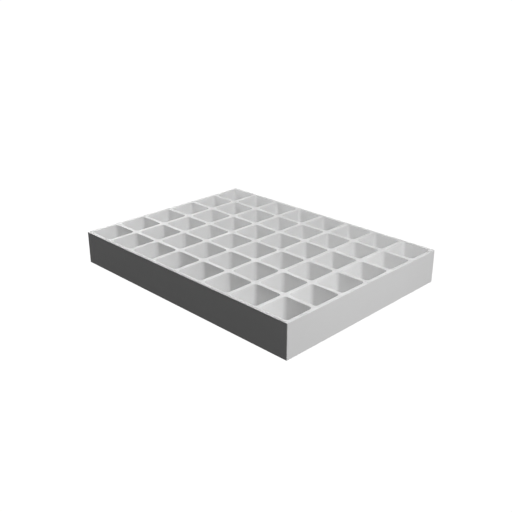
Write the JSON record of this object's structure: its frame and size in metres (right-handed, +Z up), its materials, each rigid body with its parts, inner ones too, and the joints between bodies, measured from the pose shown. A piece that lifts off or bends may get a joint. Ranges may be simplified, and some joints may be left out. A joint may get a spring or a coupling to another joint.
{
  "type": "plug tray",
  "caption": "Low rectangular seedling tray: straight-sided carrier with drop-in packs of square tapered cells, each with a drain hole, all flush at the rim.",
  "frame": {"origin": "on the bench, under the centre of the tray's plan", "axes": "+X along the long side, +Y along the short side, +Z up out of the cell mouths"},
  "size_m": [0.4, 0.301, 0.0482],
  "materials": {
    "carrier_plastic": "fine matte moulded polypropylene, light grey",
    "pack_plastic": "fine matte moulded polypropylene, light grey"
  },
  "bodies": {
    "tray": {"carrier_tray": "carrier_plastic"},
    "pack_1": {"cell_pack_1": "pack_plastic"},
    "pack_2": {"cell_pack_2": "pack_plastic"},
    "pack_3": {"cell_pack_3": "pack_plastic"},
    "pack_4": {"cell_pack_4": "pack_plastic"},
    "pack_5": {"cell_pack_5": "pack_plastic"},
    "pack_6": {"cell_pack_6": "pack_plastic"},
    "pack_7": {"cell_pack_7": "pack_plastic"},
    "pack_8": {"cell_pack_8": "pack_plastic"}
  },
  "joints": [
    {"name": "lift_pack_1", "type": "slide", "parent": "tray", "child": "pack_1", "axis": [0, 0, 1], "range_m": [0, 0.06]},
    {"name": "lift_pack_2", "type": "slide", "parent": "tray", "child": "pack_2", "axis": [0, 0, 1], "range_m": [0, 0.06]},
    {"name": "lift_pack_3", "type": "slide", "parent": "tray", "child": "pack_3", "axis": [0, 0, 1], "range_m": [0, 0.06]},
    {"name": "lift_pack_4", "type": "slide", "parent": "tray", "child": "pack_4", "axis": [0, 0, 1], "range_m": [0, 0.06]},
    {"name": "lift_pack_5", "type": "slide", "parent": "tray", "child": "pack_5", "axis": [0, 0, 1], "range_m": [0, 0.06]},
    {"name": "lift_pack_6", "type": "slide", "parent": "tray", "child": "pack_6", "axis": [0, 0, 1], "range_m": [0, 0.06]},
    {"name": "lift_pack_7", "type": "slide", "parent": "tray", "child": "pack_7", "axis": [0, 0, 1], "range_m": [0, 0.06]},
    {"name": "lift_pack_8", "type": "slide", "parent": "tray", "child": "pack_8", "axis": [0, 0, 1], "range_m": [0, 0.06]}
  ]
}
